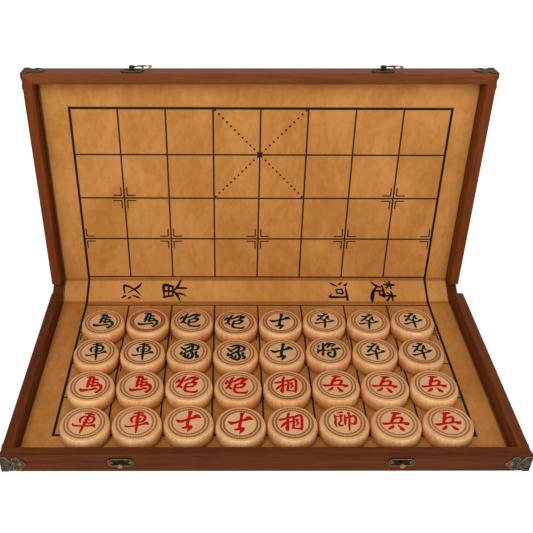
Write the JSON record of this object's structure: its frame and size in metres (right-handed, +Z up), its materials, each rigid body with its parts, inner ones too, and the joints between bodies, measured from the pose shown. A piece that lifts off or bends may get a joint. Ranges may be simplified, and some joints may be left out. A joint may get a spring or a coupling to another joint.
{
  "type": "folding xiangqi case",
  "caption": "Three-part folding game case of two shallow railed trays joined by a narrow spine, with hook latches, metal corner guards and loose round playing pieces.",
  "frame": {"origin": "centre of the base tray's underside, on the surface it stands on", "axes": "+X to the case's right along its width, -Y out of the front with the catches, +Z up"},
  "size_m": [0.5115, 0.3239, 0.2894],
  "materials": {
    "rail_wood": "varnished red-brown hardwood",
    "board_wood": "stained veneer",
    "tan_leather": "mottled tan board leather",
    "dark_bronze": "antiqued cast bronze",
    "nail_brass": "aged brass",
    "drum_wood_red": "waxed pale wood with red marks",
    "drum_wood_green": "waxed pale wood with green marks"
  },
  "bodies": {
    "base_tray": {"base_panel": "board_wood", "base_leather": "tan_leather", "base_front_rail": "rail_wood", "base_left_rail": "rail_wood", "base_right_rail": "rail_wood", "base_left_corner_guard": "dark_bronze", "base_right_corner_guard": "dark_bronze", "left_catch_plate": "dark_bronze", "right_catch_plate": "dark_bronze", "catch_studs": "dark_bronze", "base_nails": "nail_brass"},
    "spine": {"spine_panel": "board_wood", "spine_leather": "tan_leather", "spine_left_strip": "rail_wood", "spine_right_strip": "rail_wood"},
    "lid_tray": {"lid_panel": "board_wood", "lid_leather": "tan_leather", "lid_front_rail": "rail_wood", "lid_left_rail": "rail_wood", "lid_right_rail": "rail_wood", "lid_left_corner_guard": "dark_bronze", "lid_right_corner_guard": "dark_bronze", "left_latch_plate": "dark_bronze", "right_latch_plate": "dark_bronze", "latch_posts": "dark_bronze", "lid_nails": "nail_brass"},
    "left_hook": {"left_latch_hook": "dark_bronze"},
    "right_hook": {"right_latch_hook": "dark_bronze"},
    "red_general_piece": {"red_general": "drum_wood_red"},
    "red_advisor_1_piece": {"red_advisor_1": "drum_wood_red"},
    "red_advisor_2_piece": {"red_advisor_2": "drum_wood_red"},
    "red_elephant_1_piece": {"red_elephant_1": "drum_wood_red"},
    "red_elephant_2_piece": {"red_elephant_2": "drum_wood_red"},
    "red_horse_1_piece": {"red_horse_1": "drum_wood_red"},
    "red_horse_2_piece": {"red_horse_2": "drum_wood_red"},
    "red_chariot_1_piece": {"red_chariot_1": "drum_wood_red"},
    "red_chariot_2_piece": {"red_chariot_2": "drum_wood_red"},
    "red_cannon_1_piece": {"red_cannon_1": "drum_wood_red"},
    "red_cannon_2_piece": {"red_cannon_2": "drum_wood_red"},
    "red_soldier_1_piece": {"red_soldier_1": "drum_wood_red"},
    "red_soldier_2_piece": {"red_soldier_2": "drum_wood_red"},
    "red_soldier_3_piece": {"red_soldier_3": "drum_wood_red"},
    "red_soldier_4_piece": {"red_soldier_4": "drum_wood_red"},
    "red_soldier_5_piece": {"red_soldier_5": "drum_wood_red"},
    "green_general_piece": {"green_general": "drum_wood_green"},
    "green_advisor_1_piece": {"green_advisor_1": "drum_wood_green"},
    "green_advisor_2_piece": {"green_advisor_2": "drum_wood_green"},
    "green_elephant_1_piece": {"green_elephant_1": "drum_wood_green"},
    "green_elephant_2_piece": {"green_elephant_2": "drum_wood_green"},
    "green_horse_1_piece": {"green_horse_1": "drum_wood_green"},
    "green_horse_2_piece": {"green_horse_2": "drum_wood_green"},
    "green_chariot_1_piece": {"green_chariot_1": "drum_wood_green"},
    "green_chariot_2_piece": {"green_chariot_2": "drum_wood_green"},
    "green_cannon_1_piece": {"green_cannon_1": "drum_wood_green"},
    "green_cannon_2_piece": {"green_cannon_2": "drum_wood_green"},
    "green_soldier_1_piece": {"green_soldier_1": "drum_wood_green"},
    "green_soldier_2_piece": {"green_soldier_2": "drum_wood_green"},
    "green_soldier_3_piece": {"green_soldier_3": "drum_wood_green"},
    "green_soldier_4_piece": {"green_soldier_4": "drum_wood_green"},
    "green_soldier_5_piece": {"green_soldier_5": "drum_wood_green"}
  },
  "joints": [
    {"name": "spine_fold", "type": "hinge", "parent": "base_tray", "child": "spine", "pos_m": [0, 0.1315, 0.0055], "axis": [-1, 0, 0], "range_deg": [-65, 25]},
    {"name": "lid_fold", "type": "hinge", "parent": "spine", "child": "lid_tray", "pos_m": [-0.0023, 0.16177, 0.01962], "axis": [-1, 0, 0], "range_deg": [-29, 61]},
    {"name": "left_hook_swing", "type": "hinge", "parent": "lid_tray", "child": "left_hook", "pos_m": [-0.1381, 0.17194, 0.28255], "axis": [0, 0.0698, 0.9976], "range_deg": [-100, 14]},
    {"name": "right_hook_swing", "type": "hinge", "parent": "lid_tray", "child": "right_hook", "pos_m": [0.1291, 0.17194, 0.28255], "axis": [0, 0.0698, 0.9976], "range_deg": [-94, 20]},
    {"name": "red_general_lift", "type": "slide", "parent": "base_tray", "child": "red_general_piece", "axis": [0, 0, 1], "range_m": [0, 0.06]},
    {"name": "red_advisor_1_lift", "type": "slide", "parent": "base_tray", "child": "red_advisor_1_piece", "axis": [0, 0, 1], "range_m": [0, 0.06]},
    {"name": "red_advisor_2_lift", "type": "slide", "parent": "base_tray", "child": "red_advisor_2_piece", "axis": [0, 0, 1], "range_m": [0, 0.06]},
    {"name": "red_elephant_1_lift", "type": "slide", "parent": "base_tray", "child": "red_elephant_1_piece", "axis": [0, 0, 1], "range_m": [0, 0.06]},
    {"name": "red_elephant_2_lift", "type": "slide", "parent": "base_tray", "child": "red_elephant_2_piece", "axis": [0, 0, 1], "range_m": [0, 0.06]},
    {"name": "red_horse_1_lift", "type": "slide", "parent": "base_tray", "child": "red_horse_1_piece", "axis": [0, 0, 1], "range_m": [0, 0.06]},
    {"name": "red_horse_2_lift", "type": "slide", "parent": "base_tray", "child": "red_horse_2_piece", "axis": [0, 0, 1], "range_m": [0, 0.06]},
    {"name": "red_chariot_1_lift", "type": "slide", "parent": "base_tray", "child": "red_chariot_1_piece", "axis": [0, 0, 1], "range_m": [0, 0.06]},
    {"name": "red_chariot_2_lift", "type": "slide", "parent": "base_tray", "child": "red_chariot_2_piece", "axis": [0, 0, 1], "range_m": [0, 0.06]},
    {"name": "red_cannon_1_lift", "type": "slide", "parent": "base_tray", "child": "red_cannon_1_piece", "axis": [0, 0, 1], "range_m": [0, 0.06]},
    {"name": "red_cannon_2_lift", "type": "slide", "parent": "base_tray", "child": "red_cannon_2_piece", "axis": [0, 0, 1], "range_m": [0, 0.06]},
    {"name": "red_soldier_1_lift", "type": "slide", "parent": "base_tray", "child": "red_soldier_1_piece", "axis": [0, 0, 1], "range_m": [0, 0.06]},
    {"name": "red_soldier_2_lift", "type": "slide", "parent": "base_tray", "child": "red_soldier_2_piece", "axis": [0, 0, 1], "range_m": [0, 0.06]},
    {"name": "red_soldier_3_lift", "type": "slide", "parent": "base_tray", "child": "red_soldier_3_piece", "axis": [0, 0, 1], "range_m": [0, 0.06]},
    {"name": "red_soldier_4_lift", "type": "slide", "parent": "base_tray", "child": "red_soldier_4_piece", "axis": [0, 0, 1], "range_m": [0, 0.06]},
    {"name": "red_soldier_5_lift", "type": "slide", "parent": "base_tray", "child": "red_soldier_5_piece", "axis": [0, 0, 1], "range_m": [0, 0.06]},
    {"name": "green_general_lift", "type": "slide", "parent": "base_tray", "child": "green_general_piece", "axis": [0, 0, 1], "range_m": [0, 0.06]},
    {"name": "green_advisor_1_lift", "type": "slide", "parent": "base_tray", "child": "green_advisor_1_piece", "axis": [0, 0, 1], "range_m": [0, 0.06]},
    {"name": "green_advisor_2_lift", "type": "slide", "parent": "base_tray", "child": "green_advisor_2_piece", "axis": [0, 0, 1], "range_m": [0, 0.06]},
    {"name": "green_elephant_1_lift", "type": "slide", "parent": "base_tray", "child": "green_elephant_1_piece", "axis": [0, 0, 1], "range_m": [0, 0.06]},
    {"name": "green_elephant_2_lift", "type": "slide", "parent": "base_tray", "child": "green_elephant_2_piece", "axis": [0, 0, 1], "range_m": [0, 0.06]},
    {"name": "green_horse_1_lift", "type": "slide", "parent": "base_tray", "child": "green_horse_1_piece", "axis": [0, 0, 1], "range_m": [0, 0.06]},
    {"name": "green_horse_2_lift", "type": "slide", "parent": "base_tray", "child": "green_horse_2_piece", "axis": [0, 0, 1], "range_m": [0, 0.06]},
    {"name": "green_chariot_1_lift", "type": "slide", "parent": "base_tray", "child": "green_chariot_1_piece", "axis": [0, 0, 1], "range_m": [0, 0.06]},
    {"name": "green_chariot_2_lift", "type": "slide", "parent": "base_tray", "child": "green_chariot_2_piece", "axis": [0, 0, 1], "range_m": [0, 0.06]},
    {"name": "green_cannon_1_lift", "type": "slide", "parent": "base_tray", "child": "green_cannon_1_piece", "axis": [0, 0, 1], "range_m": [0, 0.06]},
    {"name": "green_cannon_2_lift", "type": "slide", "parent": "base_tray", "child": "green_cannon_2_piece", "axis": [0, 0, 1], "range_m": [0, 0.06]},
    {"name": "green_soldier_1_lift", "type": "slide", "parent": "base_tray", "child": "green_soldier_1_piece", "axis": [0, 0, 1], "range_m": [0, 0.06]},
    {"name": "green_soldier_2_lift", "type": "slide", "parent": "base_tray", "child": "green_soldier_2_piece", "axis": [0, 0, 1], "range_m": [0, 0.06]},
    {"name": "green_soldier_3_lift", "type": "slide", "parent": "base_tray", "child": "green_soldier_3_piece", "axis": [0, 0, 1], "range_m": [0, 0.06]},
    {"name": "green_soldier_4_lift", "type": "slide", "parent": "base_tray", "child": "green_soldier_4_piece", "axis": [0, 0, 1], "range_m": [0, 0.06]},
    {"name": "green_soldier_5_lift", "type": "slide", "parent": "base_tray", "child": "green_soldier_5_piece", "axis": [0, 0, 1], "range_m": [0, 0.06]}
  ]
}
